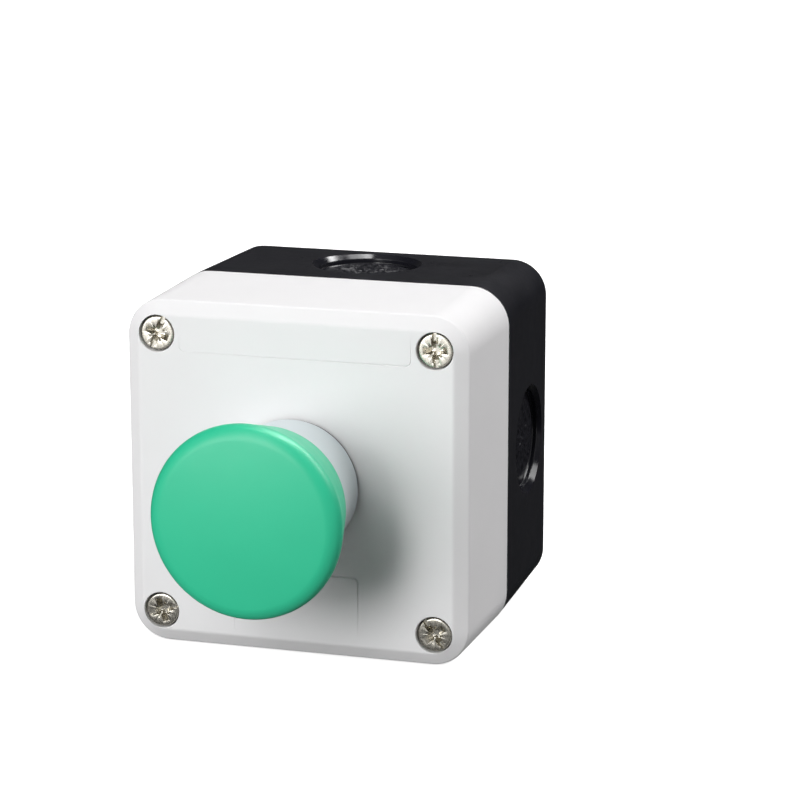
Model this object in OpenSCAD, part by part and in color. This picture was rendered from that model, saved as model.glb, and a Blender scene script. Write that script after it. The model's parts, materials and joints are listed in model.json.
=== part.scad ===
// One-button control station: a square enclosure in two halves, a mushroom push button in its
// front, and two contact blocks behind the button.
// Every piece is drawn lying on its back: X to the right, Y up the front, Z ahead of the wall.
// hung() then stands it up, so that the wall is at Y = 0 and the button looks along -Y.

/* [Enclosure] */
// Width and height at the joint between the two halves
box_w = 75; // [62:0.5:95]
// Depth from the wall to the front face
box_d = 66.5; // [55:0.5:85]
// Depth of the rear half
base_d = 35.75; // [29:0.25:44]
// How much each side of the rear half draws in towards the wall
base_draft = 0.8; // [0.2:0.1:1.2]
// How much each side of the cover draws in towards the front
cover_draft = 0.5; // [0.2:0.1:1]
// Corner radius at the joint
corner_r = 8.4; // [7:0.1:10.5]
// Thickness of the side walls
wall_t = 3; // [2.4:0.1:3.6]
// Thickness of the wall side
back_t = 3; // [2:0.1:4]
// Thickness of the front plate
face_t = 3; // [2.4:0.1:4]
// Width of the front chamfer, seen from the front
chamfer_w = 3; // [1.5:0.1:4]
// Depth of the front chamfer
chamfer_d = 1.95; // [1:0.05:2.5]

/* [Cover screws] */
// Distance from the widest side of the box to the screw
screw_inset = 7.5; // [7:0.1:9]
// Diameter of the shank
screw_d = 4; // [3:0.1:4.6]
// Diameter of the head
head_d = 7.2; // [6:0.1:7.5]
// Height of the head
head_h = 2.7; // [2:0.1:3.2]
// How far the head lies below the front face
head_sink = 0.4; // [0.1:0.1:1]
// Thickness of the sealing washer under the head
washer_t = 0.8; // [0.5:0.1:1.2]
// Gap between the head and the wall of its recess
head_gap = 0.3; // [0.2:0.05:0.5]
// Wall thickness of the round posts round the recess and the insert
post_t = 0.7; // [0.5:0.1:1]
// Wall thickness of the threaded insert
insert_t = 0.8; // [0.5:0.1:1.2]
// Length of the threaded insert
insert_l = 8; // [5:0.5:10]
// Turn of each screw's slot, in degrees: top right, top left, bottom left, bottom right
screw_turns = [94, 68, 20, 128]; // [0:1:180]

/* [Seal at the joint] */
// Width of the groove and of the gasket in it
gasket_w = 1.2; // [0.8:0.1:1.4]
// Depth of the groove
gasket_h = 1.6; // [1:0.1:2.5]

/* [Cable knockouts] */
// Diameter of the rim of each knockout
knock_d = 24; // [16:0.5:26]
// Width of the bevel inside the rim
knock_lead = 1.15; // [0.4:0.05:1.5]
// Width of the groove between the bevel and the disc that is knocked out
knock_groove_w = 2.25; // [1.5:0.05:3]
// Depth of the disc below the side
knock_disc_sink = 1.7; // [0.8:0.1:1.8]
// Thickness of the web under the groove round the disc
knock_web = 0.7; // [0.4:0.1:1]
// Distance from the wall to the middle of the knockout
knock_at = 15.5; // [14:0.5:18]

/* [Wall fixing] */
// Diameter of the four holes
wall_hole_d = 4.5; // [3.5:0.1:5.5]
// Distance from the widest side of the box to the holes
wall_hole_inset = 13.5; // [12.5:0.5:18]

/* [Label fields] */
// Height of the upper field
upper_field_h = 7; // [5:0.5:8]
// Width of the lower field
lower_field_w = 27.2; // [20:0.2:32]
// Height of the lower field
lower_field_h = 12.4; // [8:0.2:13]
// Width of the engraved outline
field_line = 0.4; // [0.3:0.05:0.6]
// Depth of the engraved outline
field_deep = 0.3; // [0.1:0.05:0.5]
// Corner radius of the fields
field_r = 1.2; // [0.8:0.1:2]

/* [Push button] */
// Diameter of the cap at its widest
cap_d = 40; // [34:0.5:48]
// Wall thickness of the cap at its rear edge
cap_skirt_t = 1.7; // [1.2:0.1:2.4]
// Gap between the cap and the collar inside it
cap_gap = 0.6; // [0.4:0.1:1]
// Height of the rear edge of the cap above the front face
cap_rear_at = 15.7; // [14:0.1:19]
// Height of the widest place of the cap above the front face
cap_wide_at = 30.3; // [28:0.1:36]
// Radius of the rim of the cap
cap_rim_r = 2.6; // [1:0.1:3.5]
// Slope of the crowned front of the cap at its edge, in degrees
crown = 6; // [2:0.5:10]
// Diameter of the neck through the cover
neck_d = 22; // [18:0.1:25]
// How far the collar reaches out beyond the neck
collar_lap = 3; // [2.5:0.1:3.5]
// Length of the neck behind the front plate
neck_l = 14; // [13:0.5:17]
// Diameter of the plunger
plunger_d = 13; // [11:0.1:13.6]
// Stroke of the button
stroke = 4.5; // [3:0.1:5]
// Radial running clearance of the plunger in its guide
running_gap = 0.05; // [0.02:0.01:0.1]
// Wire diameter of the return spring
spring_wire = 1.2; // [0.8:0.1:1.4]
// Turns of the return spring
spring_turns = 5; // [4:0.5:7]
// Thickness of the gasket between collar and cover
panel_gasket_t = 0.8; // [0.5:0.1:1.2]

/* [Contact blocks] */
// Width of one block
block_w = 10; // [9:0.5:11]
// Height of one block
block_h = 38.2; // [36:0.2:44]
// Depth of one block
block_d = 27; // [26:0.5:30]
// Gap between the two blocks
block_gap = 0.5; // [0.3:0.1:1]
// Wall thickness of a block
block_t = 1.2; // [1:0.1:1.3]
// Opening between the normally open contacts
contact_gap = 3; // [2.5:0.1:3.5]
// Diameter of the contact tips
tip_d = 3; // [2:0.1:3.4]

/* [Hidden] */
$fn = 96;

// Overshoot of every cut, and the slack between pieces that lie still against each other
over = 1;
snug = 0.05;
// Gap between flat faces that slide past each other, and between round faces that move apart
slide_gap = 0.1;
loose_gap = 0.35;
// Radial play of screws and of the neck in the holes they pass through
play = 0.2;

// Enclosure
CORNERS = [[1, 1], [-1, 1], [-1, -1], [1, -1]];
QUARTERS = [0, 90, 180, 270];
box_half = box_w / 2;
corner_at = box_half - corner_r;
back_half = box_half - base_draft;
front_half = box_half - cover_draft;
chamfer_z = box_d - chamfer_d;
flat_half = front_half - chamfer_w;
face_in = box_d - face_t;
inner_half = box_half - wall_t;

// Screws, washers, inserts and the posts round them
screw_at = box_half - screw_inset;
screw_r = screw_d / 2;
screw_hole_r = screw_r + play;
head_r = head_d / 2;
head_top = box_d - head_sink;
head_z = head_top - head_h;
washer_z = head_z - washer_t;
recess_r = head_r + head_gap;
insert_r = screw_r + insert_t;
insert_top = base_d - 0.5;
insert_z = insert_top - insert_l;
post_r = max(recess_r, insert_r) + post_t;
screw_end = insert_z - 1;
screw_room = 2;
wall_hole_at = box_half - wall_hole_inset;

// Lips inside the cover: thickness, gap to the rear half, reach to each side of the joint
lip_t = 1.1;
lip_half = corner_at - 7;
lip_x = [inner_half - play - lip_t, inner_half - play];
lip_z = [base_d - 2, base_d + 4];
lip_root = 0.4;

// Knockouts, with a bevelled rim and a finer ring on the disc
knock_r = knock_d / 2;
knock_in = knock_r - knock_lead;
knock_disc_r = knock_in - knock_groove_w;
knock_groove_deep = wall_t - knock_web;
knock_ring = [knock_disc_r - 2, knock_disc_r - 1.4];
knock_ring_deep = 0.4;

// Label fields
field_margin = [1.1, 0.5, 2.4];
upper_field_w = 2 * (screw_at - recess_r - field_margin[0]);
upper_field_y = flat_half - field_margin[1] - upper_field_h / 2;
lower_field_y = -(flat_half - field_margin[2] - lower_field_h / 2);

// Operator, in heights ahead of the wall: the neck carries the collar and guides the plunger
neck_r = neck_d / 2;
neck_end = face_in - neck_l;
key_w = 3;
key_h = 1.2;
gasket_top = box_d + panel_gasket_t;
collar_r = neck_r + collar_lap;
collar_h = 17.7;
collar_top = gasket_top + collar_h;
collar_roof = 2;
flange_r = collar_r - 1.3;
flange_top = gasket_top + 3;
plunger_r = plunger_d / 2;
guide_r = plunger_r + running_gap;
shoulder_r = plunger_r + 1.9;
shoulder_z = collar_top + 1;
shoulder_top = shoulder_z + 2.5;
pocket_r = shoulder_r + loose_gap;
pocket_floor = flange_top + 1.7;
tube_r = pocket_r + 1.65;
tube_top = collar_top - 0.5;
seal_z = [flange_top - 1.3, flange_top + 0.3];
seal_r = plunger_r + 1.5;
spring_r = plunger_r + 1.1;
clip_t = 1;
clip_r = plunger_r + 1.5;
clip_in = plunger_r - 1.2;
clip_z = [neck_end - slide_gap - clip_t, neck_end - slide_gap];
foot_z = clip_z[0] - 1.9;
nut_flats = neck_d + 4;
nut_r = nut_flats / sqrt(3);
lock_r = nut_flats / 2;
lock_z = face_in - 1;
nut_z = lock_z - 4;

// Cap
rear_z = box_d + cap_rear_at;
rear_edge_r = 0.6;
rear_in = collar_r + cap_gap;
rear_r = rear_in + cap_skirt_t;
rim_z = box_d + cap_wide_at;
rim_in = cap_d / 2 - cap_rim_r;
roof_z = rim_z - 0.8;
roof_in = max(rim_in - 1, rear_in);
side_slope = atan((cap_d / 2 - rear_r) / (cap_wide_at - cap_rear_at));
dome_edge = rim_in + cap_rim_r * sin(crown);
dome_r = dome_edge / sin(crown);
dome_z = rim_z + cap_rim_r * cos(crown) - dome_r * cos(crown);
spigot_r = 5;
spigot_top = roof_z - 1;
spigot_gap = 0.1;

// Contact carrier, hung on the neck, with hooks that hold the two blocks
block_top = foot_z - stroke - 0.5;
block_bottom = block_top - block_d;
carrier_w = neck_d + 8;
carrier_half = carrier_w / 2;
carrier_top = nut_z - 1;
carrier_cut = 8;
carrier_hole_r = clip_r + 1;
carrier_screw_at = carrier_half - 3;
carrier_screw_r = 1.5;
carrier_head_r = 2.4;
carrier_head_z = [block_top + 0.3, block_top + 2.3];
arm_w = 2 * block_w + block_gap;
arm_t = 2;
arm_y = [block_h / 2 + play, block_h / 2 + play + arm_t];
arm_top = block_top + 4;
hook_y = arm_y[0] - 1.1;
hook_z = [block_top - 8, block_top - 6.2];

// Contact blocks, in lengths from the middle of the block and heights ahead of the wall
block_at = (block_w + block_gap) / 2;
half_w = block_w / 2;
half_h = block_h / 2;
cavity_x = half_w - block_t;
cavity_y = half_h - 8.1;
cavity_z = [block_bottom + 2, block_top - 2];
foot_notch = [4.6, 3];

// Plunger, contacts and springs inside a block
stem = [3, 6];
slider = [2 * cavity_x - 1.2, 5];
slider_top = cavity_z[1] - slide_gap;
tip_t = 0.8;
tip_at = cavity_y - 4.4;
bridge_w = 4;
bridge_t = 0.8;
bridge_half = cavity_y - 2.4;
small_wire = 0.5;
small_spring_r = [1.9, 1.5];
small_spring_turns = [4, 3];

// Terminals
pocket_w = block_w - 3;
pocket_y = cavity_y + 1.5;
strip_w = pocket_w - 2;
strip_t = 0.8;
strip_y = [tip_at - 2.1, half_h - 0.8];
terminal_at = (pocket_y + half_h) / 2;
clamp_t = 1;
clamp_w = pocket_w - 0.6;
clamp_h = half_h - pocket_y - 0.6;
terminal_r = 0.32 * strip_w;
terminal_head_r = min(clamp_w, clamp_h) / 2 - play;
terminal_head_h = 2;
terminal_reach = 3;

// Heights in the normally open block: the bridge waits above the fixed contacts
no_spring_l = 4.6;
no_strip_z = block_bottom + 8.7;
no_bridge_z = no_strip_z + strip_t + 2 * tip_t + contact_gap;
no_window = [no_bridge_z - slide_gap, no_bridge_z + bridge_t + no_spring_l];
no_slider_z = no_window[0] - 3;

// Heights in the normally closed block: the bridge lies under the fixed contacts, and the plunger
// moves a little before it takes the bridge along
nc_spring_l = 4.2;
nc_free = 1.05;
nc_strip_z = block_top - 9.5;
nc_bridge_z = nc_strip_z - 2 * tip_t - bridge_t;
nc_window = [nc_bridge_z - nc_spring_l, nc_bridge_z + bridge_t + nc_free];
nc_slider_z = nc_window[0] - 1;

// Colours
black_plastic = [0.09, 0.10, 0.12];
cover_plastic = [0.87, 0.88, 0.88];
cap_plastic = [0.22, 0.74, 0.55];
collar_plastic = [0.80, 0.82, 0.83];
dark_plastic = [0.22, 0.23, 0.25];
pale_plastic = [0.62, 0.63, 0.64];
green_plastic = [0.16, 0.45, 0.30];
red_plastic = [0.62, 0.17, 0.16];
rubber = [0.14, 0.14, 0.15];
steel = [0.70, 0.71, 0.73];
screw_steel = [0.78, 0.77, 0.74];
brass = [0.80, 0.66, 0.34];
silver = [0.85, 0.85, 0.84];

// Helpers

module hung() {
    rotate([90, 0, 0]) children();
}

// Half width of the outside of the rear half at a height ahead of the wall
function base_half(z) = back_half + base_draft * z / base_d;

// Points of an arc, from one angle to another
function arc(cx, cy, r, from, to, steps) =
    [for (i = [0:steps]) let (a = from + (to - from) * i / steps) [cx + r * cos(a), cy + r * sin(a)]];

// Round bar, washer and centred square bar between two heights, and a box between three pairs of limits
module rod(r, z) {
    translate([0, 0, z[0]]) cylinder(h = z[1] - z[0], r = r);
}

module ring(outer, inner, z) {
    translate([0, 0, z[0]])
        linear_extrude(height = z[1] - z[0])
            difference() {
                circle(outer);
                circle(inner);
            }
}

module bar(w, h, z) {
    translate([-w / 2, -h / 2, z[0]]) cube([w, h, z[1] - z[0]]);
}

module span(x, y, z) {
    translate([x[0], y[0], z[0]]) cube([x[1] - x[0], y[1] - y[0], z[1] - z[0]]);
}

// Square slab with round corners that grows or shrinks from one half width to another
module tapered_slab(low, high, z) {
    for (turn = [0, 90])
        rotate([0, 0, turn])
            rotate([90, 0, 0])
                linear_extrude(height = 2 * corner_at, center = true)
                    polygon([[-low, z[0]], [low, z[0]], [high, z[1]], [-high, z[1]]]);
    at_corners(corner_at)
        translate([0, 0, z[0]])
            cylinder(h = z[1] - z[0], r1 = low - corner_at, r2 = high - corner_at);
}

module round_rect(w, h, r) {
    square([w - 2 * r, h], center = true);
    square([w, h - 2 * r], center = true);
    for (c = CORNERS)
        translate([c[0] * (w / 2 - r), c[1] * (h / 2 - r)]) circle(r);
}

module at_corners(at) {
    for (c = CORNERS)
        translate([c[0] * at, c[1] * at, 0]) children();
}

module at_quarters() {
    for (turn = QUARTERS)
        rotate([0, 0, turn]) children();
}

module both_ends() {
    children();
    mirror([0, 1, 0]) children();
}

// Coil spring between two heights, as a tube swept along a helix
module coil(mean_r, wire_d, turns, z, sides, steps) {
    rings = turns * steps;
    wire_r = wire_d / 2;
    low = z[0] + wire_r;
    rise = z[1] - z[0] - wire_d;
    points = [for (i = [0:rings], j = [0:sides - 1])
        let (a = 360 * i / steps, b = 360 * j / sides, r = mean_r + wire_r * cos(b))
        [r * cos(a), r * sin(a), low + rise * i / rings + wire_r * sin(b)]];
    skin = [for (i = [0:rings - 1], j = [0:sides - 1], half = [0, 1])
        let (k = (j + 1) % sides, p = i * sides, q = p + sides)
        half == 0 ? [p + j, p + k, q + k] : [p + j, q + k, q + j]];
    start_cap = [[for (j = [0:sides - 1]) sides - 1 - j]];
    end_cap = [[for (j = [0:sides - 1]) rings * sides + j]];
    polyhedron(points = points, faces = concat(skin, start_cap, end_cap));
}

// Cross recess with a screwdriver slot across it, cut down from z = 0 into a head of this size
module drive_recess(size, deep) {
    for (turn = [0, 90])
        rotate([0, 0, turn]) bar(size * 0.7, size * 0.18, [-deep, over]);
    for (turn = [45, 135])
        rotate([0, 0, turn]) bar(size * 0.5, size * 0.06, [-deep * 0.6, over]);
    bar(2 * size, size * 0.12, [-deep * 0.45, over]);
}

// Enclosure

// Rim, sunk disc, groove round the disc and a finer ring on it, for the knockout in each side
module knockout_cut() {
    at_quarters()
        translate([base_half(knock_at), 0, knock_at])
            rotate([0, 90, 0]) {
                translate([0, 0, -knock_lead])
                    cylinder(h = knock_lead + over, r1 = knock_in, r2 = knock_r + over);
                rod(knock_in, [-knock_disc_sink, 0]);
                ring(knock_in, knock_disc_r, [-knock_groove_deep, 0]);
                ring(knock_ring[1], knock_ring[0], [-knock_disc_sink - knock_ring_deep, 0]);
            }
}

// Outline of the gasket in the middle of the rim, and of the groove that holds it
module gasket_outline(slack) {
    middle = box_half - wall_t / 2;
    outer = middle + gasket_w / 2 - slack;
    inner = middle - gasket_w / 2 + slack;
    difference() {
        round_rect(2 * outer, 2 * outer, outer - corner_at);
        round_rect(2 * inner, 2 * inner, inner - corner_at);
    }
}

module base_housing() {
    color(black_plastic) hung() difference() {
        union() {
            difference() {
                tapered_slab(back_half, box_half, [0, base_d]);
                tapered_slab(base_half(back_t) - wall_t, inner_half, [back_t, base_d + 0.001]);
            }
            intersection() {
                tapered_slab(back_half, box_half, [0, base_d]);
                at_corners(screw_at) rod(post_r, [0, base_d]);
            }
        }
        knockout_cut();
        at_corners(screw_at) {
            rod(insert_r + snug, [insert_z, base_d + over]);
            rod(screw_hole_r, [screw_end - screw_room, base_d]);
        }
        at_corners(wall_hole_at) rod(wall_hole_d / 2, [-over, back_t + over]);
        translate([0, 0, base_d - gasket_h])
            linear_extrude(height = gasket_h + over) gasket_outline(0);
    }
}

module field_outline(w, h, y) {
    translate([0, y, box_d - field_deep])
        linear_extrude(height = field_deep + over)
            difference() {
                round_rect(w, h, field_r);
                round_rect(w - 2 * field_line, h - 2 * field_line, field_r - field_line);
            }
}

module cover_shell() {
    difference() {
        union() {
            tapered_slab(box_half, front_half, [base_d, chamfer_z]);
            tapered_slab(front_half, flat_half, [chamfer_z, box_d]);
        }
        tapered_slab(inner_half, front_half - wall_t, [base_d - 0.001, face_in]);
    }
    intersection() {
        tapered_slab(box_half, front_half, [base_d, chamfer_z]);
        at_corners(screw_at) rod(post_r, [base_d, face_in + over]);
    }
}

// Ribs that reach from the cover into the rear half and keep the two in line
module cover_lips() {
    at_quarters() {
        span(lip_x, [-lip_half, lip_half], lip_z);
        span([lip_x[0], inner_half + lip_root], [-lip_half, lip_half], [base_d + lip_root, lip_z[1]]);
    }
}

module front_cover() {
    color(cover_plastic) hung() difference() {
        union() {
            cover_shell();
            cover_lips();
        }
        at_corners(screw_at) {
            rod(screw_hole_r, [base_d - over, box_d + over]);
            rod(recess_r, [washer_z, box_d + over]);
        }
        rod(neck_r + play, [face_in - over, box_d + over]);
        translate([0, neck_r, 0])
            bar(key_w + 2 * snug, 2 * (key_h + 2 * play), [face_in - over, box_d + over]);
        field_outline(upper_field_w, upper_field_h, upper_field_y);
        field_outline(lower_field_w, lower_field_h, lower_field_y);
    }
}

module cover_gasket() {
    color(rubber) hung()
        translate([0, 0, base_d - gasket_h])
            linear_extrude(height = gasket_h) gasket_outline(snug);
}

module cover_screw() {
    bevel = 0.5;
    point = 0.8;
    rotate_extrude()
        polygon([[0, screw_end], [screw_r - point, screw_end], [screw_r, screw_end + point],
            [screw_r, head_z], [head_r, head_z], [head_r, head_top - bevel],
            [head_r - bevel, head_top], [0, head_top]]);
}

module cover_screws() {
    color(screw_steel) hung()
        for (i = [0:3])
            translate([CORNERS[i][0] * screw_at, CORNERS[i][1] * screw_at, 0]) difference() {
                cover_screw();
                translate([0, 0, head_top]) rotate([0, 0, screw_turns[i]]) drive_recess(head_d, 1.5);
            }
}

module screw_washers() {
    color(rubber) hung() at_corners(screw_at) ring(head_r, screw_r + snug, [washer_z, head_z]);
}

module thread_inserts() {
    waist = [insert_z + insert_l * 0.4, insert_z + insert_l * 0.6];
    waist_deep = 0.3;
    color(brass) hung() at_corners(screw_at) difference() {
        rod(insert_r, [insert_z, insert_top]);
        ring(insert_r + over, insert_r - waist_deep, waist);
        rod(screw_r + snug, [insert_z - over, insert_top + over]);
    }
}

// Push button

module mushroom_cap() {
    color(cap_plastic) hung()
        rotate_extrude($fn = 128)
            polygon(concat(
                [[spigot_r + snug, spigot_top], [spigot_r + snug, shoulder_top]],
                [[shoulder_r, shoulder_top], [shoulder_r, roof_z], [roof_in, roof_z], [rear_in, rear_z]],
                arc(rear_r - rear_edge_r, rear_z + rear_edge_r, rear_edge_r, -90, -side_slope, 6),
                arc(rim_in, rim_z, cap_rim_r, -side_slope, 90 - crown, 16),
                arc(0, dome_z, dome_r, 90 - crown * 0.75, 90, 3),
                [[0, spigot_top]]));
}

module bezel_collar() {
    bevel = 0.6;
    color(collar_plastic) hung()
        rotate_extrude()
            polygon([[flange_r + snug, gasket_top], [collar_r, gasket_top], [collar_r, collar_top - bevel],
                [collar_r - bevel, collar_top], [tube_r + snug, collar_top],
                [tube_r + snug, collar_top - collar_roof], [flange_r + snug, collar_top - collar_roof]]);
}

module panel_gasket() {
    color(rubber) hung() ring(collar_r - 0.3, neck_r + snug, [box_d, gasket_top]);
}

module operator_body() {
    color(dark_plastic) hung() difference() {
        union() {
            rod(neck_r, [neck_end, gasket_top]);
            rod(flange_r, [gasket_top, flange_top]);
            rod(tube_r, [flange_top, tube_top]);
            translate([0, neck_r, 0]) bar(key_w, 2 * key_h, [face_in, box_d]);
        }
        rod(guide_r, [neck_end - over, tube_top + over]);
        rod(pocket_r, [pocket_floor, tube_top + over]);
        rod(seal_r, seal_z);
    }
}

module button_plunger() {
    bevel = 0.4;
    color(pale_plastic) hung()
        rotate_extrude()
            polygon([[0, foot_z], [plunger_r - bevel, foot_z], [plunger_r, foot_z + bevel],
                [plunger_r, clip_z[0]], [clip_in, clip_z[0]], [clip_in, clip_z[1]], [plunger_r, clip_z[1]],
                [plunger_r, shoulder_z], [shoulder_r, shoulder_z], [shoulder_r, shoulder_top],
                [spigot_r, shoulder_top], [spigot_r, spigot_top - spigot_gap],
                [0, spigot_top - spigot_gap]]);
}

module return_spring() {
    color(steel) hung()
        coil(spring_r, spring_wire, spring_turns, [pocket_floor + snug, shoulder_z - snug], 10, 24);
}

module stem_seal() {
    color(rubber) hung() ring(seal_r, guide_r, seal_z);
}

module retaining_clip() {
    mouth = clip_in - 1;
    color(steel) hung() difference() {
        ring(clip_r, clip_in + snug, clip_z);
        span([-mouth, mouth], [-clip_r - over, 0], [clip_z[0] - over, clip_z[1] + over]);
    }
}

module lock_washer() {
    tooth = 0.8;
    tooth_half = 1;
    color(steel) hung() {
        ring(lock_r, neck_r + snug, [lock_z, face_in]);
        for (turn = [0:30:330])
            rotate([0, 0, turn])
                span([lock_r - tooth, lock_r + tooth], [-tooth_half, tooth_half], [lock_z, face_in]);
    }
}

module fixing_nut() {
    bevel = 1;
    color(steel) hung() difference() {
        intersection() {
            translate([0, 0, nut_z]) cylinder(h = lock_z - nut_z, r = nut_r, $fn = 6);
            rotate_extrude()
                polygon([[0, nut_z], [nut_flats / 2, nut_z], [nut_r, nut_z + bevel], [nut_r, lock_z],
                    [0, lock_z]]);
        }
        rod(neck_r + snug, [nut_z - over, lock_z + over]);
    }
}

module at_carrier_screws() {
    for (c = [CORNERS[0], CORNERS[2]])
        translate([c[0] * carrier_screw_at, c[1] * carrier_screw_at, 0]) children();
}

module contact_carrier() {
    through = [block_top - over, carrier_top + over];
    color(dark_plastic) hung() difference() {
        union() {
            bar(carrier_w, carrier_w, [block_top, carrier_top]);
            both_ends() {
                span([-arm_w / 2, arm_w / 2], [carrier_half - 1, arm_y[1]], [block_top, arm_top]);
                span([-arm_w / 2, arm_w / 2], arm_y, [hook_z[0], arm_top]);
                span([-arm_w / 2, arm_w / 2], [hook_y, arm_y[1]], hook_z);
            }
        }
        rod(neck_r + snug, [neck_end, through[1]]);
        rod(carrier_hole_r, through);
        at_carrier_screws() {
            rod(carrier_head_r + play, [through[0], carrier_head_z[1]]);
            rod(carrier_screw_r + snug, through);
        }
        for (c = [CORNERS[1], CORNERS[3]])
            translate([c[0] * carrier_half, c[1] * carrier_half, 0])
                rotate([0, 0, 45]) bar(carrier_cut, carrier_cut, through);
    }
}

module carrier_screws() {
    color(screw_steel) hung() at_carrier_screws() difference() {
        union() {
            rod(carrier_head_r, carrier_head_z);
            rod(carrier_screw_r, [carrier_head_z[0], face_in]);
        }
        translate([0, 0, carrier_head_z[0]]) mirror([0, 0, 1]) drive_recess(2 * carrier_head_r, 1.1);
    }
}

// Contact blocks. Each is drawn about its own middle, with its open side towards +X, and
// in_block() puts it on the right, where it is normally open, or on the left, normally closed.

module in_block(side) {
    hung() translate([side * block_at, 0, 0]) mirror([side < 0 ? 1 : 0, 0, 0]) children();
}

// Notch for the carrier's hook
module hook_notch() {
    span([-block_w, block_w], [hook_y - play, half_h + over],
        [hook_z[0] - slide_gap, hook_z[1] + slide_gap]);
}

module block_housing(strip_z) {
    strip_top = strip_z + strip_t;
    difference() {
        span([-half_w, cavity_x], [-half_h, half_h], [block_bottom, block_top]);
        span([-cavity_x, cavity_x + over], [-cavity_y, cavity_y], cavity_z);
        bar(stem[0] + 2 * slide_gap, stem[1] + 2 * slide_gap, [cavity_z[1] - over, block_top + over]);
        both_ends() {
            span([-pocket_w / 2, pocket_w / 2], [pocket_y, half_h + over], [block_bottom - over, strip_z]);
            span([-strip_w / 2 - snug, strip_w / 2 + snug], [cavity_y - over, strip_y[1] + snug],
                [strip_z - over, strip_top + snug]);
            translate([0, terminal_at, 0])
                rod(terminal_r + play, [strip_z, strip_top + terminal_reach + play]);
            hook_notch();
        }
    }
}

module block_side_cover() {
    difference() {
        span([cavity_x, half_w], [-half_h, half_h], [block_bottom, block_top]);
        both_ends() {
            hook_notch();
            span([0, block_w], [half_h - foot_notch[0], half_h + over],
                [block_bottom - over, block_bottom + foot_notch[1]]);
        }
    }
}

module block_plunger(slider_z, window) {
    difference() {
        union() {
            bar(stem[0], stem[1], [slider_top - over, foot_z - slide_gap]);
            bar(slider[0], slider[1], [slider_z, slider_top]);
        }
        bar(bridge_w + 2 * slide_gap, 2 * slider[1], window);
    }
}

module block_bridge(z) {
    bar(bridge_w, 2 * bridge_half, [z, z + bridge_t]);
}

module tip_pair(z) {
    both_ends() translate([0, tip_at, 0]) rod(tip_d / 2, [z, z + tip_t]);
}

module block_fixed_contacts(z) {
    both_ends() difference() {
        span([-strip_w / 2, strip_w / 2], strip_y, [z, z + strip_t]);
        translate([0, terminal_at, 0]) rod(terminal_r + snug, [z - over, z + strip_t + over]);
    }
}

module block_terminal_clamps(strip_z) {
    both_ends() translate([0, terminal_at, 0]) difference() {
        bar(clamp_w, clamp_h, [strip_z - clamp_t, strip_z]);
        rod(terminal_r + snug, [strip_z - clamp_t - over, strip_z + over]);
    }
}

module block_terminal_screws(strip_z) {
    top = strip_z - clamp_t;
    low = top - terminal_head_h;
    both_ends() translate([0, terminal_at, 0]) difference() {
        union() {
            rod(terminal_head_r, [low, top]);
            rod(terminal_r, [low, strip_z + strip_t + terminal_reach]);
        }
        translate([0, 0, low]) mirror([0, 0, 1]) drive_recess(2 * terminal_head_r, 1.2);
    }
}

module block_plunger_spring(slider_z) {
    coil(small_spring_r[0], small_wire, small_spring_turns[0],
        [cavity_z[0] + snug, slider_z - snug], 6, 16);
}

module block_contact_spring(z) {
    coil(small_spring_r[1], small_wire, small_spring_turns[1], [z[0] + snug, z[1] - snug], 6, 16);
}

// Normally open block

module no_housing() {
    color(dark_plastic) in_block(1) block_housing(no_strip_z);
}

module no_side_cover() {
    color(pale_plastic) in_block(1) block_side_cover();
}

module no_plunger() {
    color(green_plastic) in_block(1) block_plunger(no_slider_z, no_window);
}

module no_plunger_spring() {
    color(steel) in_block(1) block_plunger_spring(no_slider_z);
}

module no_bridge() {
    color(brass) in_block(1) block_bridge(no_bridge_z);
}

module no_bridge_tips() {
    color(silver) in_block(1) tip_pair(no_bridge_z - tip_t);
}

module no_contact_spring() {
    color(steel) in_block(1) block_contact_spring([no_bridge_z + bridge_t, no_window[1]]);
}

module no_fixed_contacts() {
    color(brass) in_block(1) block_fixed_contacts(no_strip_z);
}

module no_fixed_tips() {
    color(silver) in_block(1) tip_pair(no_strip_z + strip_t);
}

module no_terminal_clamps() {
    color(steel) in_block(1) block_terminal_clamps(no_strip_z);
}

module no_terminal_screws() {
    color(screw_steel) in_block(1) block_terminal_screws(no_strip_z);
}

// Normally closed block

module nc_housing() {
    color(dark_plastic) in_block(-1) block_housing(nc_strip_z);
}

module nc_side_cover() {
    color(pale_plastic) in_block(-1) block_side_cover();
}

module nc_plunger() {
    color(red_plastic) in_block(-1) block_plunger(nc_slider_z, nc_window);
}

module nc_plunger_spring() {
    color(steel) in_block(-1) block_plunger_spring(nc_slider_z);
}

module nc_bridge() {
    color(brass) in_block(-1) block_bridge(nc_bridge_z);
}

module nc_bridge_tips() {
    color(silver) in_block(-1) tip_pair(nc_bridge_z + bridge_t);
}

module nc_contact_spring() {
    color(steel) in_block(-1) block_contact_spring([nc_window[0], nc_bridge_z]);
}

module nc_fixed_contacts() {
    color(brass) in_block(-1) block_fixed_contacts(nc_strip_z);
}

module nc_fixed_tips() {
    color(silver) in_block(-1) tip_pair(nc_strip_z - tip_t);
}

module nc_terminal_clamps() {
    color(steel) in_block(-1) block_terminal_clamps(nc_strip_z);
}

module nc_terminal_screws() {
    color(screw_steel) in_block(-1) block_terminal_screws(nc_strip_z);
}

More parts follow.
